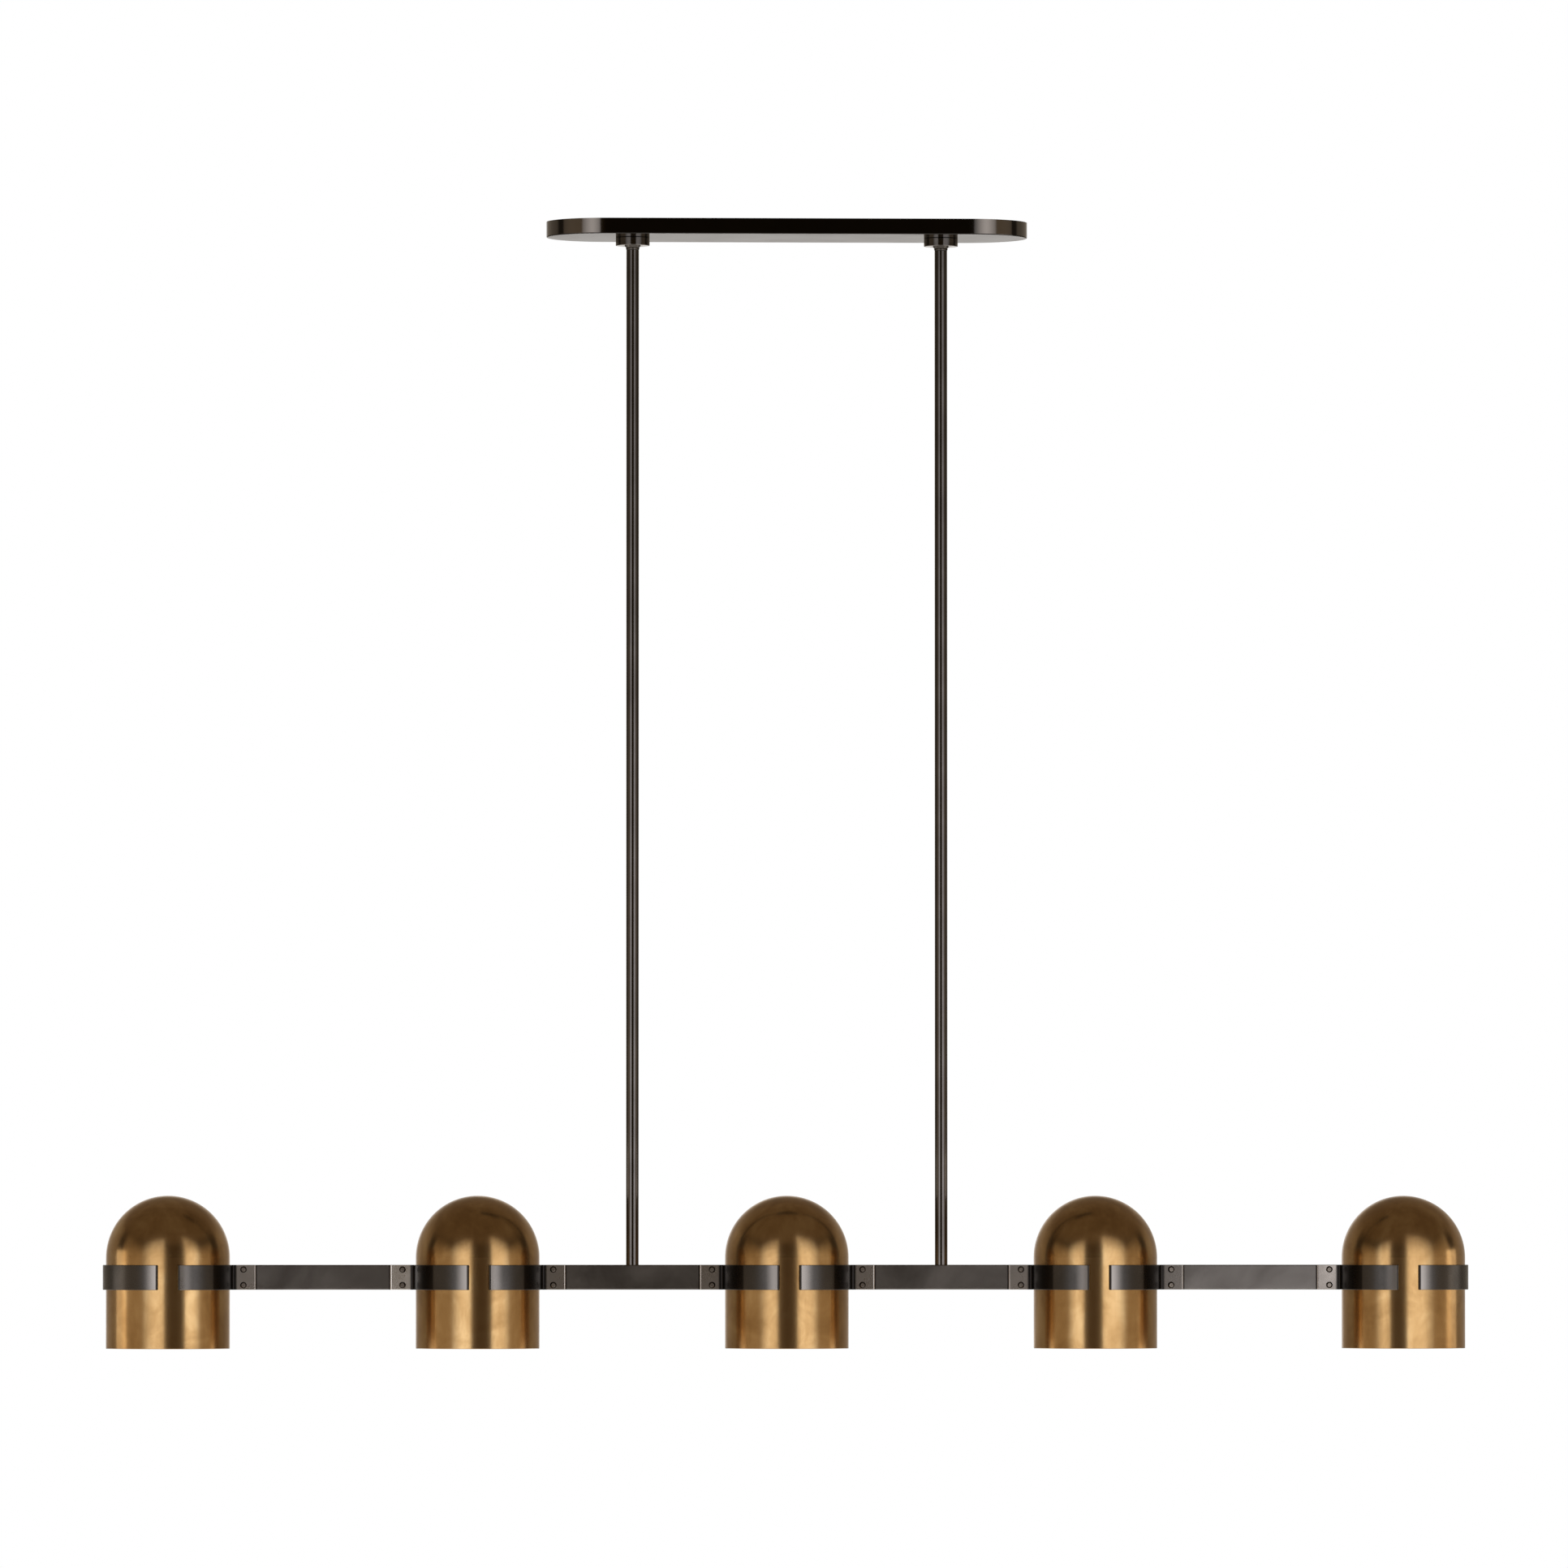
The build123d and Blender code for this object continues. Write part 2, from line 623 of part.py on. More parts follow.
def holder_drop(x, side):
    """The lead's way from a shade's side hole over the bridge and into the holder."""
    top_z = bridge_z + bridge_thickness + lead_arch
    reach = lead_spacing / 2
    steps = [(shade_bore * share, bar_z + height) for share, height in (hole_stop, rise_stop)]
    steps += [(shade_bore * arch_stop_share, top_z), (reach, top_z + lead_arch_rise),
              (reach, holder_top_z - nipple_grip)]
    return [(x + side * step_x, 0, step_z) for step_x, step_z in steps]


def rod_lead(x, side):
    """From the swivel's ball down a rod, along half a bar and into the next shade."""
    low = bar_z - bar_height / 2 + bar_wall + 2 * lead_radius
    near = x + side * lead_spacing / 2
    block = bar_length / 2 - end_block_inset - end_block_length
    start = [(near, 0, ball_z + ball_top - 1), (near, 0, low), (x + side * bar_floor_reach, 0, low),
             (x + side * (block - block_approach), 0, bar_z)]
    return lead(start + holder_drop(x + side * shade_pitch / 2, -side))


def link_lead(x, side):
    """From one lampholder through a whole bar to the next, outer, lampholder."""
    start = holder_drop(x, side)
    return lead(start[::-1] + holder_drop(x + side * shade_pitch, -side))


def fixture_leads():
    last = shade_count - 1
    return [rod_lead(swivel_places["left"], -1), rod_lead(swivel_places["left"], 1),
            rod_lead(swivel_places["right"], 1),
            link_lead(shade_places[1], -1), link_lead(shade_places[last - 1], 1)]


def supply_lead(x, lane):
    """From a swivel's neck over the plate's edge and back to the ceiling box's hole."""
    toward = -1 if x > 0 else 1
    start = x + lane * lead_spacing / 2
    over = -(lead_radius + lead_skin)
    under = canopy_under_z + canopy_wall + supply_below * lead_radius
    edge = -plate_width / 2
    step = lane * toward * lead_spacing / 2
    leave, first, second, third = (edge - front for front in supply_front)
    (near_x, near_y), (last_x, last_y) = supply_end
    points = [(start, 0, cavity_top_z - 1), (start, 0, over), (start, leave, over),
              (start + toward * supply_along[0], first + step, under),
              (start + toward * supply_along[1], second + step, under),
              (-toward * supply_back[0], third + step, under),
              (-toward * supply_back[1], edge + supply_inward + step, under),
              (-toward * near_x, 2 * step - near_y, under + supply_rise),
              (-toward * last_x, 2 * step - last_y, -1)]
    return lead(points)


def ground_lead():
    screw_x, screw_y = ground_screw_at
    under = -plate_thickness - lead_radius - lead_skin
    edge = ground_head_radius + lead_radius + ground_side
    (back_x, back_y, dip), (turn_x, turn_y, turn_dip), (end_x, end_y, end_dip) = ground_way
    return lead([(screw_x - edge, screw_y, under), (screw_x - edge - back_x, screw_y - back_y, under - dip),
                 (turn_x, turn_y, under - turn_dip), (end_x, end_y, -end_dip)])


# ------------------------------------------------------------ build
save("mounting_plate", [mounting_plate()])
save("canopy_pan", [canopy_pan()])
save("ground_screw", [ground_screw()])
save("housing_locknuts", [locknut(x) for x in swivel_places.values()])
save("supply_leads", [supply_lead(swivel_places["left"], -1), supply_lead(swivel_places["left"], 1),
                      supply_lead(swivel_places["right"], 1), ground_lead()])
for side_name, side_x in swivel_places.items():
    save(f"swivel_housing_{side_name}", [swivel_housing(side_x)])
    save(f"swivel_cup_{side_name}", [swivel_cup(side_x)])
    save(f"swivel_ball_{side_name}", [swivel_ball(side_x)])
    save(f"rod_{side_name}", [rod(side_x)])

nipples = [nipple(x, bar_top_z + nipple_grip) for x in swivel_places.values()]
nipples += [nipple(x, bridge_z + bridge_thickness + nipple_grip) for x in shade_places]
save("threaded_nipples", nipples)
save("rod_anchor_blocks", [anchor_block(x) for x in swivel_places.values()])
for number, bar_x in enumerate(bar_places, 1):
    save(f"bar_{number}", [bar(bar_x)])
save("bar_end_blocks", [block for x in bar_places for block in end_blocks(x)])
save_straps()
save("strap_screws", strap_screws())

bushings = []
for number, shade_x in enumerate(shade_places, 1):
    open_sides = [side for side in (-1, 1) if 1 <= number + side <= shade_count]
    save(f"shade_{number}", [shade(shade_x, open_sides)])
    save(f"lampholder_{number}", [lampholder(shade_x)])
    save(f"lamp_{number}", [lamp(shade_x)])
    bushings += [bushing(shade_x, side) for side in open_sides]
save("wire_bushings", bushings)
save("shade_screws", [screw for x in shade_places for screw in shade_screws(x)])
save("socket_bridges", [socket_bridge(x) for x in shade_places])
save("lampholder_shells", [screw_shell(x) for x in shade_places])
save("fixture_leads", fixture_leads())
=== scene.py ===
"""Linear island pendant: finishes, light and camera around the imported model."""
import json
import math

import bpy
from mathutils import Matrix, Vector

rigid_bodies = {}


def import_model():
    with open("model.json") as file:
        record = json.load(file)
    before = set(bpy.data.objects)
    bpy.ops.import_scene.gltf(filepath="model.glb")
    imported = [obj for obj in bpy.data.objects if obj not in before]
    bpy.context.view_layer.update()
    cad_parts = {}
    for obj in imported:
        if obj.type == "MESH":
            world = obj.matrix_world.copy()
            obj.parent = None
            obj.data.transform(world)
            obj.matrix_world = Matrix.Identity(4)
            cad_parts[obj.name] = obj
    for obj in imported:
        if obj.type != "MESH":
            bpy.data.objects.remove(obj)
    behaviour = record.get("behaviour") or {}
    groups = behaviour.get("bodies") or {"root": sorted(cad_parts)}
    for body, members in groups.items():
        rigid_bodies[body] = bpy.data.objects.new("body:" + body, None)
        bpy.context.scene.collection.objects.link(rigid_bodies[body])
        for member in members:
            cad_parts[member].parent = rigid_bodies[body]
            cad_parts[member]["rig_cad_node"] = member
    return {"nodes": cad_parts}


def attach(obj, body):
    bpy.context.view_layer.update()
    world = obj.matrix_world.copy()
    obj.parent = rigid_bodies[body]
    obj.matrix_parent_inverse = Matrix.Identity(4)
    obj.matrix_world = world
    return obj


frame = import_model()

for leftover in [o for o in bpy.data.objects if o.type in {"MESH", "LIGHT", "CAMERA"}]:
    if "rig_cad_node" not in leftover:
        bpy.data.objects.remove(leftover)
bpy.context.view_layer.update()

# ---------------------------------------------------------------- places, in metres
SHADE_PITCH = 0.3175
TAB_END = 0.0900
FLOOR_LEVEL = -2.4
FLOOR_RADIUS = 30.0
BOX_BOTTOM = -2.2

# ---------------------------------------------------------------- camera
IMAGE_SIDE = 1932
METRES_PER_PIXEL = 0.0008341
CAMERA_DISTANCE = 14.0
CAMERA_TURN = math.radians(2.4)
CAMERA_LEVEL = -1.0136
SENSOR = 36.0
AIM = Vector((-0.0029, 0.0, -0.5782))


def make_camera():
    """The photograph's view: far away, a little to the left, near the height of the shades."""
    data = bpy.data.cameras.new("camera")
    camera = bpy.data.objects.new("camera", data)
    bpy.context.scene.collection.objects.link(camera)
    camera.location = (
        -CAMERA_DISTANCE * math.sin(CAMERA_TURN),
        -CAMERA_DISTANCE * math.cos(CAMERA_TURN),
        CAMERA_LEVEL,
    )
    camera.rotation_euler = (AIM - camera.location).to_track_quat("-Z", "Y").to_euler()
    data.sensor_width = SENSOR
    data.lens = SENSOR * CAMERA_DISTANCE / (METRES_PER_PIXEL * IMAGE_SIDE)
    data.clip_start = 0.1
    data.clip_end = 200.0
    bpy.context.scene.camera = camera


make_camera()


# ---------------------------------------------------------------- node graphs
class Graph:
    """A node tree with short calls for the nodes that the finishes share."""

    def __init__(self, tree):
        self.nodes = tree.nodes
        self.links = tree.links

    def add(self, kind, inputs=None, **settings):
        node = self.nodes.new(kind)
        for name, value in settings.items():
            setattr(node, name, value)
        for name, value in (inputs or {}).items():
            self.feed(node.inputs[name], value)
        return node

    def feed(self, socket, value):
        if isinstance(value, bpy.types.NodeSocket):
            self.links.new(value, socket)
        else:
            socket.default_value = value

    def place(self, stretch=(1.0, 1.0, 1.0)):
        """Object coordinates, in metres, stretched along an axis by a number below 1."""
        coordinates = self.add("ShaderNodeTexCoord").outputs["Object"]
        mapping = self.add("ShaderNodeMapping", {"Vector": coordinates, "Scale": stretch})
        return mapping.outputs["Vector"]

    def noise(self, where, scale, detail=4.0, roughness=0.55, distortion=0.0):
        inputs = {
            "Vector": where,
            "Scale": scale,
            "Detail": detail,
            "Roughness": roughness,
            "Distortion": distortion,
        }
        return self.add("ShaderNodeTexNoise", inputs).outputs["Fac"]

    def span(self, value, low, high, to_low=0.0, to_high=1.0, smooth=False):
        """Maps low..high onto to_low..to_high, held at both ends."""
        inputs = {
            "Value": value,
            "From Min": low,
            "From Max": high,
            "To Min": to_low,
            "To Max": to_high,
        }
        kind = "SMOOTHSTEP" if smooth else "LINEAR"
        return self.add("ShaderNodeMapRange", inputs, interpolation_type=kind).outputs["Result"]

    def math(self, operation, first, second=0.0):
        return self.add("ShaderNodeMath", {0: first, 1: second}, operation=operation).outputs[0]

    def mix(self, factor, first, second):
        """Mixes two colours or two plain values, as the colour node does."""
        node = self.add("ShaderNodeMix", data_type="RGBA")
        self.feed(node.inputs[0], factor)
        self.feed(node.inputs[6], first)
        self.feed(node.inputs[7], second)
        return node.outputs[2]

    def ramp(self, factor, stops):
        node = self.add("ShaderNodeValToRGB", {"Fac": factor})
        elements = node.color_ramp.elements
        elements[0].position, elements[0].color = stops[0]
        elements[1].position, elements[1].color = stops[-1]
        for position, color in stops[1:-1]:
            elements.new(position).color = color
        return node.outputs["Color"]

    def axis(self, where, name):
        return self.add("ShaderNodeSeparateXYZ", {"Vector": where}).outputs[name]

    def facing(self, name):
        """One axis of the surface's normal."""
        return self.axis(self.add("ShaderNodeNewGeometry").outputs["Normal"], name)

    def near(self, value, middle, inner, outer, share=1.0, smooth=False):
        """share within inner of middle, falling to 0 at outer."""
        distance = self.math("ABSOLUTE", self.math("SUBTRACT", value, middle))
        return self.span(distance, outer, inner, 0.0, share, smooth)

    def bump(self, height, distance):
        inputs = {"Height": height, "Distance": distance, "Strength": 1.0}
        return self.add("ShaderNodeBump", inputs).outputs["Normal"]


def rgb(red, green, blue):
    return (red, green, blue, 1.0)


def finish(name, **inputs):
    """A new material and its graph, with plain values on the shader's own sockets."""
    material = bpy.data.materials.new(name)
    material.use_nodes = True
    graph = Graph(material.node_tree)
    shader = material.node_tree.nodes["Principled BSDF"]
    for key, value in inputs.items():
        shader.inputs[key.replace("_", " ")].default_value = value
    return material, graph, shader


def coat(graph, shader, color, roughness, normal=None):
    """Links a finish's colour, roughness and, where it has a grain, its normal."""
    graph.feed(shader.inputs["Base Color"], color)
    graph.feed(shader.inputs["Roughness"], roughness)
    if normal is not None:
        graph.feed(shader.inputs["Normal"], normal)


# ---------------------------------------------------------------- finishes
# black for painted shade and painted shadow lines
PAINTED_SHADE_BLACK = rgb(0.012, 0.010, 0.009)
SEAM_EDGE = 0.0002


def antique_brass():
    """Antique brass, burnished by hand: soft clouds and upright streaks, with a few darker specks.
    """
    material, graph, shader = finish(
        "antique_brass", Metallic=1.0, Coat_Weight=0.25, Coat_Roughness=0.3, Coat_IOR=1.45
    )
    where = graph.place()
    upright = graph.place((1.0, 1.0, 0.3))
    clouds = graph.noise(where, 26.0, 5.0, 0.6, 0.8)
    streaks = graph.noise(upright, 55.0, 4.0, 0.6, 0.4)
    specks = graph.noise(where, 420.0, 3.0, 0.6)
    tone = graph.mix(0.42, clouds, streaks)
    color = graph.ramp(
        tone,
        [
            (0.30, rgb(0.315, 0.170, 0.055)),
            (0.50, rgb(0.460, 0.272, 0.104)),
            (0.68, rgb(0.600, 0.390, 0.172)),
        ],
    )
    speckled = graph.mix(graph.span(specks, 0.62, 0.80, 0.0, 0.25), color, rgb(0.17, 0.085, 0.03))
    roughness = graph.span(tone, 0.3, 0.7, 0.23, 0.16)
    # fine rubbing marks, as a bump only
    wear_and_sheen = graph.noise(upright, 90.0, 3.0, 0.5)
    coat(graph, shader, speckled, roughness, graph.bump(wear_and_sheen, 0.00003))
    return material


def dark_bronze(name, dark, light, rough, grain=0.00003):
    """Blackened bronze, with a fine grain unless it is polished."""
    material, graph, shader = finish(name, Metallic=1.0)
    where = graph.place()
    clouds = graph.noise(where, 24.0, 4.0, 0.55, 0.4)
    fine = graph.noise(where, 600.0, 2.0, 0.5)
    tone = graph.mix(0.2, clouds, fine)
    color = graph.ramp(tone, [(0.34, rgb(*dark)), (0.66, rgb(*light))])
    normal = graph.bump(fine, grain) if grain else None
    coat(graph, shader, color, graph.span(tone, 0.35, 0.65, *rough), normal)
    return material


RIM_EDGE = -0.0150
# where the painted highlight on the canopy's rim begins and ends, along X from the middle
PAINTED_HIGHLIGHT_FROM = 0.195
PAINTED_HIGHLIGHT_TO = 0.231


def canopy_bronze():
    """Polished bronze, with a painted highlight: a lighter colour on the outward face of the rim
    round its two ends.
    """
    material, graph, shader = finish("canopy_bronze", Metallic=1.0)
    where = graph.place()
    clouds = graph.noise(where, 24.0, 4.0, 0.55, 0.4)
    color = graph.ramp(clouds, [(0.34, rgb(0.036, 0.032, 0.028)), (0.66, rgb(0.045, 0.040, 0.035))])
    across = graph.axis(where, "X")
    # painted highlight: the outward face of the rim, above its lower edge, is made lighter round
    # the two ends
    outside = graph.span(graph.math("MULTIPLY", graph.facing("X"), across), 0.0, 0.004)
    above_edge = graph.span(graph.axis(where, "Z"), RIM_EDGE - SEAM_EDGE, RIM_EDGE + SEAM_EDGE)
    rim = graph.math("MULTIPLY", outside, above_edge)
    from_middle = graph.math("ABSOLUTE", across)
    begun = graph.span(from_middle, PAINTED_HIGHLIGHT_FROM - 0.008, PAINTED_HIGHLIGHT_FROM + 0.008, 0.0, 1.0, True)
    ended = graph.span(from_middle, PAINTED_HIGHLIGHT_TO - 0.009, PAINTED_HIGHLIGHT_TO + 0.009, 1.0, 0.3, True)
    wear_and_sheen = graph.math("MULTIPLY", rim, graph.math("MULTIPLY", begun, ended))
    color = graph.mix(wear_and_sheen, color, rgb(0.34, 0.295, 0.25))
    coat(graph, shader, color, graph.span(clouds, 0.35, 0.65, 0.12, 0.10))
    return material


JOINT_LEVEL = -0.0165


def cup_bronze():
    """Polished bronze, painted bright on the face underneath as a painted reflection, with a
    painted shadow line in the seam at the top.
    """
    material, graph, shader = finish("cup_bronze", Metallic=1.0)
    where = graph.place()
    clouds = graph.noise(where, 24.0, 4.0, 0.55, 0.4)
    side = graph.ramp(clouds, [(0.34, rgb(0.095, 0.083, 0.072)), (0.66, rgb(0.130, 0.115, 0.100))])
    # painted reflection: the downward face is made bright
    under = graph.span(graph.facing("Z"), -0.8, -0.95)
    color = graph.mix(under, side, rgb(0.62, 0.58, 0.54))
    height = graph.axis(where, "Z")
    # painted shadow: a dark line at the top of the cup, where it meets the canopy
    painted_seam_shadow = graph.span(height, JOINT_LEVEL - SEAM_EDGE, JOINT_LEVEL + SEAM_EDGE)
    color = graph.mix(painted_seam_shadow, color, rgb(0.01, 0.009, 0.008))
    coat(graph, shader, color, graph.span(under, 0.0, 1.0, 0.12, 0.07))
    return material


def bar_bronze():
    """Blackened bronze with large clouds, and a painted shadow line on the bar at the ends of the
    straps' tabs.
    """
    material, graph, shader = finish("bar_bronze", Metallic=1.0)
    where = graph.place()
    clouds = graph.noise(where, 16.0, 3.0, 0.5, 0.6)
    fine = graph.noise(where, 600.0, 2.0, 0.5)
    color = graph.ramp(clouds, [(0.32, rgb(0.120, 0.105, 0.091)), (0.68, rgb(0.230, 0.206, 0.183))])
    from_axis = graph.math("PINGPONG", graph.axis(where, "X"), SHADE_PITCH / 2)
    # painted shadow: a dark line on the bar beside the end of each strap's tab
    painted_seam_shadow = graph.near(from_axis, TAB_END + 0.0004, 0.0004, 0.0011, 0.75, True)
    color = graph.mix(painted_seam_shadow, color, PAINTED_SHADE_BLACK)
    roughness = graph.span(fine, 0.35, 0.65, 0.33, 0.29)
    coat(graph, shader, color, roughness, graph.bump(fine, 0.00002))
    return material


TIP_END = 0.0120
TURN_START = 0.0455
TAB_START = 0.0690
OUTER_SHADES_END = 0.6750
TAB_MIDDLE = 0.0800
TAB_HALF = 0.0105


def strap_bronze():
    """Blackened bronze, with painted highlights near the tips and along the tabs' ends, painted
    shade on the tips' ends and where a strap turns away, and a lighter tone on the flat tabs.

    All distances along X are from the axis of the nearest shade.
    """
    material, graph, shader = finish("strap_bronze", Metallic=1.0)
    where = graph.place()
    clouds = graph.noise(where, 24.0, 4.0, 0.55, 0.4)
    fine = graph.noise(where, 600.0, 2.0, 0.5)
    tone = graph.mix(0.2, clouds, fine)
    color = graph.ramp(tone, [(0.34, rgb(0.062, 0.055, 0.048)), (0.66, rgb(0.086, 0.076, 0.067))])
    across = graph.axis(where, "X")
    from_axis = graph.math("PINGPONG", across, SHADE_PITCH / 2)
    # painted highlight on the fingers near their tips
    painted_tip_highlight = graph.span(from_axis, TIP_END + 0.0140, TIP_END, 0.0, 0.9, True)
    color = graph.mix(painted_tip_highlight, color, rgb(0.33, 0.292, 0.256))
    # painted shade: a dark line on the end of each finger
    painted_tip_dark_edge = graph.span(from_axis, TIP_END + 0.0007, TIP_END, 0.0, 0.85)
    color = graph.mix(painted_tip_dark_edge, color, PAINTED_SHADE_BLACK)
    # painted shade where a strap turns away round its shade, left off the outer wrap straps
    painted_turn_shade = graph.span(from_axis, TURN_START, TURN_START + 0.0020, 0.0, 0.8, True)
    from_middle = graph.math("ABSOLUTE", across)
    between_shades = graph.span(from_middle, OUTER_SHADES_END, OUTER_SHADES_END + 0.0002, 1.0, 0.0)
    color = graph.mix(graph.math("MULTIPLY", painted_turn_shade, between_shades), color, PAINTED_SHADE_BLACK)
    # a lighter tone on the flat tabs
    flat = graph.span(from_axis, TAB_START, TAB_START + 0.0025, 0.0, 1.0, True)
    wear_and_sheen = graph.ramp(clouds, [(0.3, rgb(0.28, 0.245, 0.21)), (0.7, rgb(0.44, 0.385, 0.335))])
    color = graph.mix(flat, color, wear_and_sheen)
    # painted highlight on the tab left of the second shade, painted shade on the tab right of the
    # fourth
    outer_tab = SHADE_PITCH + TAB_MIDDLE
    painted_highlight_tab = graph.near(across, -outer_tab, TAB_HALF, TAB_HALF + 0.0010, 0.75)
    color = graph.mix(painted_highlight_tab, color, rgb(0.95, 0.88, 0.79))
    painted_shade_tab = graph.near(across, outer_tab, TAB_HALF, TAB_HALF + 0.0010, 0.45)
    color = graph.mix(painted_shade_tab, color, rgb(0.06, 0.052, 0.045))
    # painted highlight along the end edge of each tab
    painted_tab_edge_highlight = graph.span(from_axis, TAB_END - 0.0014, TAB_END - 0.0009, 0.0, 0.5)
    color = graph.mix(painted_tab_edge_highlight, color, rgb(0.62, 0.56, 0.50))
    roughness = graph.span(tone, 0.35, 0.65, 0.32, 0.25)
    coat(graph, shader, color, roughness, graph.bump(fine, 0.00002))
    return material


def screw_black():
    """Blackened screws, worn to bronze on the crown of the head, with the sloped rim of the head
    left near black as painted shade.
    """
    material, graph, shader = finish("screw_black", Metallic=1.0)
    where = graph.place()
    clouds = graph.noise(where, 60.0, 3.0)
    worn = graph.ramp(clouds, [(0.35, rgb(0.20, 0.165, 0.135)), (0.65, rgb(0.36, 0.31, 0.26))])
    # crown facing front or back worn lighter; the rest of the head near black, partly as painted
    # shade round its rim
    crown_wear_and_rim_shade = graph.span(graph.math("ABSOLUTE", graph.facing("Y")), 0.72, 0.90, 0.0, 1.0, True)
    color = graph.mix(crown_wear_and_rim_shade, rgb(0.035, 0.028, 0.022), worn)
    coat(graph, shader, color, graph.span(clouds, 0.35, 0.65, 0.36, 0.28))
    return material


def plated(name, color, roughness):
    """Plated metal, dull in patches."""
    material, graph, shader = finish(name, Metallic=1.0)
    clouds = graph.noise(graph.place(), 60.0, 4.0)
    dull = (channel * 0.72 for channel in color)
    patches = graph.ramp(clouds, [(0.35, rgb(*dull)), (0.65, rgb(*color))])
    coat(graph, shader, patches, graph.span(clouds, 0.3, 0.7, roughness * 1.3, roughness * 0.8))
    return material


def porcelain():
    """Glazed off-white ceramic."""
    material, graph, shader = finish(
        "lampholder_ceramic", Coat_Weight=0.5, Coat_Roughness=0.12, Specular_IOR_Level=0.5
    )
    where = graph.place()
    clouds = graph.noise(where, 70.0, 3.0)
    glaze = graph.ramp(clouds, [(0.3, rgb(0.70, 0.68, 0.63)), (0.7, rgb(0.80, 0.785, 0.745))])
    ripple = graph.bump(graph.noise(where, 260.0, 2.0), 0.00008)
    coat(graph, shader, glaze, graph.span(clouds, 0.3, 0.7, 0.32, 0.22), ripple)
    return material


CAP_LEVEL = -1.0812
INSULATOR_LEVEL = -1.0613
CONTACT_LEVEL = -1.0568
LEVEL_EDGE = 0.0001


def opal_lamp():
    """Opal glass, then upwards a plated screw cap, a dark insulator and a brass contact."""
    material, graph, shader = finish("lamp_opal", Coat_Weight=0.4, Coat_Roughness=0.06)
    where = graph.place()
    height = graph.axis(where, "Z")
    capped = graph.span(height, CAP_LEVEL - LEVEL_EDGE, CAP_LEVEL + LEVEL_EDGE)
    insulated = graph.span(height, INSULATOR_LEVEL - LEVEL_EDGE, INSULATOR_LEVEL + LEVEL_EDGE)
    touching = graph.span(height, CONTACT_LEVEL - LEVEL_EDGE, CONTACT_LEVEL + LEVEL_EDGE)
    clouds = graph.noise(where, 90.0, 3.0)
    glass = graph.ramp(clouds, [(0.3, rgb(0.80, 0.79, 0.76)), (0.7, rgb(0.86, 0.855, 0.83))])
    metal = graph.ramp(clouds, [(0.3, rgb(0.50, 0.48, 0.44)), (0.7, rgb(0.66, 0.64, 0.59))])
    color = graph.mix(capped, glass, metal)
    color = graph.mix(insulated, color, rgb(0.03, 0.028, 0.026))
    color = graph.mix(touching, color, rgb(0.55, 0.40, 0.18))
    metallic = graph.math("SUBTRACT", capped, insulated)
    graph.feed(shader.inputs["Metallic"], graph.math("ADD", metallic, touching))
    coat(graph, shader, color, graph.span(capped, 0.0, 1.0, 0.30, 0.24))
    return material


def sleeve(name, color, roughness):
    """Matt insulation with a fine weave."""
    material, graph, shader = finish(name, Specular_IOR_Level=0.45)
    where = graph.place()
    clouds = graph.noise(where, 120.0, 3.0)
    dull = (channel * 0.7 for channel in color)
    patches = graph.ramp(clouds, [(0.35, rgb(*dull)), (0.65, rgb(*color))])
    weave = graph.bump(graph.noise(where, 900.0, 2.0), 0.00003)
    matt = graph.span(clouds, 0.3, 0.7, roughness + 0.08, roughness - 0.05)
    coat(graph, shader, patches, matt, weave)
    return material


finishes = {
    "antique_brass": antique_brass(),
    "canopy_bronze": canopy_bronze(),
    "cup_bronze": cup_bronze(),
    "swivel_bronze": dark_bronze(
        "swivel_bronze", (0.07, 0.06, 0.05), (0.11, 0.097, 0.083), (0.2, 0.16)
    ),
    "rod_bronze": dark_bronze(
        "rod_bronze", (0.105, 0.092, 0.081), (0.145, 0.128, 0.113), (0.10, 0.08), grain=0
    ),
    "bar_bronze": bar_bronze(),
    "strap_bronze": strap_bronze(),
    "screw_black": screw_black(),
    "zinc_steel": plated("zinc_steel", (0.62, 0.61, 0.58), 0.34),
    "ground_green": sleeve("ground_green", (0.05, 0.22, 0.08), 0.35),
    "lampholder_ceramic": porcelain(),
    "shell_nickel": plated("shell_nickel", (0.66, 0.63, 0.57), 0.24),
    "bushing_black": sleeve("bushing_black", (0.03, 0.03, 0.03), 0.5),
    "lead_sleeve": sleeve("lead_sleeve", (0.055, 0.05, 0.045), 0.45),
    "lamp_opal": opal_lamp(),
}
for node in frame["nodes"].values():
    for slot in node.material_slots:
        slot.material = finishes[slot.material.name.split(".")[0]]


# ---------------------------------------------------------------- lamp threads
THREAD_TOP = -1.0630
THREAD_LOW = -1.0795
THREAD_PITCH = 0.00363
THREAD_RADIUS = 0.0130
THREAD_WIRE = 0.00045
THREAD_STEPS = 48
WIRE_SIDES = 8


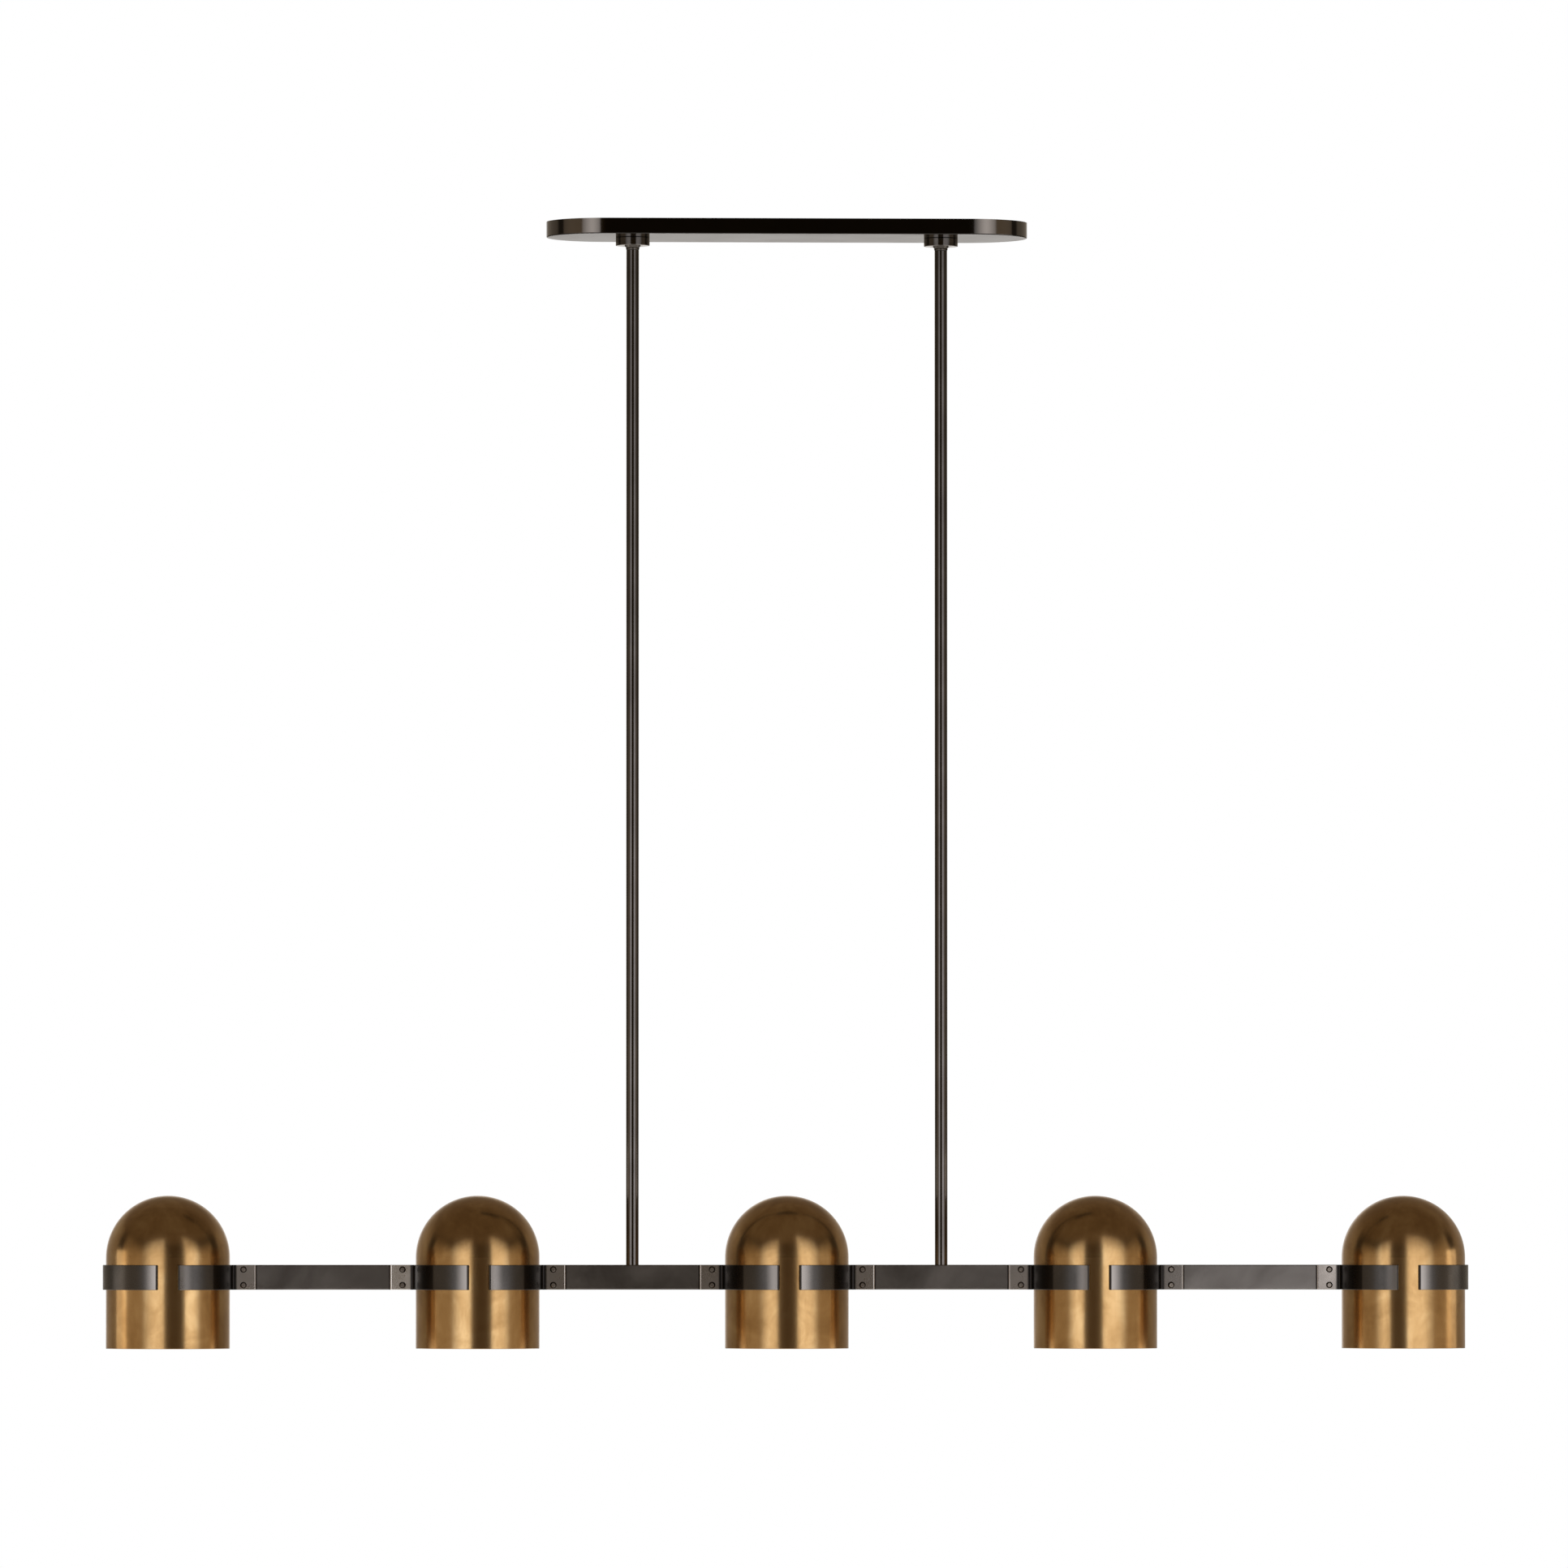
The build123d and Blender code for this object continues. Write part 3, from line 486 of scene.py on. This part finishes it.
def cap_thread(name, x):
    """The rolled thread on a lamp's cap: one closed helical wire, half sunk in the cap."""
    steps = round((THREAD_TOP - THREAD_LOW) / THREAD_PITCH * THREAD_STEPS)
    points = []
    for step in range(steps + 1):
        turn = math.tau * step / THREAD_STEPS
        fade = min(1.0, min(step, steps - step) / (THREAD_STEPS / 4) + 0.05)
        level = THREAD_LOW + (THREAD_TOP - THREAD_LOW) * step / steps
        for side in range(WIRE_SIDES):
            angle = math.tau * side / WIRE_SIDES
            radius = THREAD_RADIUS - THREAD_WIRE * (1.0 - fade) + THREAD_WIRE * math.cos(angle)
            height = level + THREAD_WIRE * math.sin(angle)
            points.append((x + radius * math.cos(turn), radius * math.sin(turn), height))
    faces = [
        (
            step * WIRE_SIDES + side,
            (step + 1) * WIRE_SIDES + side,
            (step + 1) * WIRE_SIDES + (side + 1) % WIRE_SIDES,
            step * WIRE_SIDES + (side + 1) % WIRE_SIDES,
        )
        for step in range(steps)
        for side in range(WIRE_SIDES)
    ]
    faces.append(tuple(range(WIRE_SIDES)))
    faces.append(tuple(steps * WIRE_SIDES + side for side in reversed(range(WIRE_SIDES))))
    mesh = bpy.data.meshes.new(name)
    mesh.from_pydata(points, [], faces)
    mesh.polygons.foreach_set("use_smooth", [True] * len(faces))
    mesh.materials.append(finishes["lamp_opal"])
    thread = bpy.data.objects.new(name, mesh)
    bpy.context.scene.collection.objects.link(thread)
    return thread


for number in range(1, 6):
    thread = cap_thread(f"lamp_{number}_thread", (number - 3) * SHADE_PITCH)
    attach(thread, f"lamp_body_{number}")


# ---------------------------------------------------------------- studio
def softbox(name, start, end, radiance, color, top, full_to=(1.0, 1.0), end_share=1.0):
    """An upright area light between two points of the plan, facing the fixture.

    full_to is how far it stays at full strength: as a share of its width from start, where it
    begins to fall to end_share, and of its height from the floor, where it begins to fall to 0.
    """
    data = bpy.data.lights.new(name, "AREA")
    along = Vector((end[0] - start[0], end[1] - start[1], 0.0))
    height = top - BOX_BOTTOM
    data.shape = "RECTANGLE"
    data.size = along.length
    data.size_y = height
    data.color = color
    data.energy = radiance * math.pi * along.length * height
    lamp = bpy.data.objects.new(name, data)
    bpy.context.scene.collection.objects.link(lamp)
    lamp.location = ((start[0] + end[0]) / 2, (start[1] + end[1]) / 2, (top + BOX_BOTTOM) / 2)
    across = Vector((-along.y, along.x, 0.0))
    toward = across if across.dot(lamp.location) < 0 else -across
    lamp.rotation_euler = toward.to_track_quat("-Z", "Y").to_euler()
    lamp.visible_camera = False
    if full_to == (1.0, 1.0):
        return
    data.use_nodes = True
    graph = Graph(data.node_tree)
    where = graph.add("ShaderNodeNewGeometry").outputs["Parametric"]
    upward = graph.span(graph.axis(where, "Y"), full_to[1], 1.0, 1.0, 0.0)
    outward = graph.axis(where, "X")
    if start[0] > end[0]:
        outward = graph.math("SUBTRACT", 1.0, outward)
    outward = graph.span(outward, min(full_to[0], 0.99), 1.0, 1.0, end_share)
    strength = graph.math("MULTIPLY", upward, outward)
    graph.feed(data.node_tree.nodes["Emission"].inputs["Strength"], strength)


COOL = (0.94, 0.98, 1.08)
CREAM = (1.0, 0.95, 0.89)
WARM = (1.0, 0.84, 0.66)
MAIN_TOP = 1.1
PANEL_TOP = 0.60
CARD_TOP = -0.95
softbox("softbox_left", (-0.97, -2.8), (-3.7, -2.9), 1.65, COOL, MAIN_TOP, (0.40, 0.45), 0.35)
softbox("softbox_right", (0.70, -2.2), (3.6, -2.3), 1.70, COOL, MAIN_TOP, (0.44, 0.45), 0.38)
softbox("panel_left", (-3.7, -2.9), (-3.2, 0.15), 0.40, WARM, PANEL_TOP, (1.0, 0.5))
softbox("panel_right", (3.6, -2.3), (3.2, 0.15), 0.42, WARM, PANEL_TOP, (1.0, 0.5))
softbox("card_left", (-1.35, -0.12), (-1.35, 0.22), 1.1, CREAM, CARD_TOP)
softbox("card_right", (1.35, -0.12), (1.35, 0.22), 1.1, CREAM, CARD_TOP)


def studio_world():
    """White behind the fixture for the camera; for all else a dim room with a white back wall."""
    world = bpy.data.worlds.new("studio")
    world.use_nodes = True
    bpy.context.scene.world = world
    tree = world.node_tree
    tree.nodes.clear()
    graph = Graph(tree)
    direction = graph.add("ShaderNodeTexCoord").outputs["Generated"]
    depth = graph.span(graph.axis(direction, "Y"), -1.0, 1.0)
    room = graph.ramp(
        depth,
        [
            (0.00, rgb(0.068, 0.047, 0.023)),
            (0.49, rgb(0.060, 0.050, 0.040)),
            (0.55, rgb(0.030, 0.025, 0.020)),
            (0.64, rgb(0.040, 0.033, 0.026)),
            (0.70, rgb(0.27, 0.235, 0.19)),
            (0.96, rgb(0.36, 0.31, 0.25)),
            (0.985, rgb(0.80, 0.775, 0.75)),
            (1.00, rgb(0.80, 0.775, 0.75)),
        ],
    )
    height = graph.axis(direction, "Z")
    overhead = graph.span(height, 0.30, 0.60, 0.0, 0.9, True)
    room = graph.mix(overhead, room, rgb(0.17, 0.134, 0.098))
    seen = graph.add("ShaderNodeLightPath").outputs["Is Camera Ray"]
    color = graph.mix(seen, room, rgb(1.0, 1.0, 1.0))
    background = graph.add("ShaderNodeBackground", {"Color": color, "Strength": 1.0})
    output = graph.add("ShaderNodeOutputWorld")
    graph.feed(output.inputs["Surface"], background.outputs["Background"])


FLOOR_SIDES = 96
FLOOR_LIFT = 0.8


def pale_floor():
    """A pale floor, lifted to near white for the camera and for metal, and clear from below."""
    mesh = bpy.data.meshes.new("floor")
    rim = [
        (FLOOR_RADIUS * math.cos(angle), FLOOR_RADIUS * math.sin(angle), FLOOR_LEVEL)
        for angle in (math.tau * step / FLOOR_SIDES for step in range(FLOOR_SIDES))
    ]
    mesh.from_pydata(rim, [], [list(range(FLOOR_SIDES))])
    floor = bpy.data.objects.new("floor", mesh)
    bpy.context.scene.collection.objects.link(floor)
    material = bpy.data.materials.new("pale_floor")
    material.use_nodes = True
    tree = material.node_tree
    tree.nodes.clear()
    graph = Graph(tree)
    diffuse = graph.add("ShaderNodeBsdfDiffuse", {"Color": rgb(0.82, 0.82, 0.81)})
    glow = graph.add("ShaderNodeEmission", {"Color": rgb(1.0, 1.0, 1.0), "Strength": 1.0})
    path = graph.add("ShaderNodeLightPath")
    glossy, through = path.outputs["Is Glossy Ray"], path.outputs["Is Transmission Ray"]
    place = graph.add("ShaderNodeTexCoord").outputs["Object"]
    length = graph.add("ShaderNodeVectorMath", {0: place}, operation="LENGTH")
    from_middle = length.outputs["Value"]
    near = graph.span(from_middle, 3.0, 6.0, FLOOR_LIFT, 0.0, True)
    mirrored = graph.math("MULTIPLY", graph.math("MAXIMUM", glossy, through), near)
    whiter = graph.span(from_middle, 4.0, 14.0, FLOOR_LIFT, 1.0, True)
    seen = graph.math("MULTIPLY", path.outputs["Is Camera Ray"], whiter)
    lift = graph.math("MAXIMUM", mirrored, seen)
    lifted = graph.add("ShaderNodeMixShader", {0: lift})
    graph.feed(lifted.inputs[1], diffuse.outputs[0])
    graph.feed(lifted.inputs[2], glow.outputs[0])
    below = graph.add("ShaderNodeNewGeometry").outputs["Backfacing"]
    clear = graph.add("ShaderNodeBsdfTransparent")
    sided = graph.add("ShaderNodeMixShader", {0: below})
    graph.feed(sided.inputs[1], lifted.outputs[0])
    graph.feed(sided.inputs[2], clear.outputs[0])
    output = graph.add("ShaderNodeOutputMaterial")
    graph.feed(output.inputs["Surface"], sided.outputs[0])
    floor.data.materials.append(material)


studio_world()
pale_floor()

bpy.context.scene.view_settings.view_transform = "Standard"
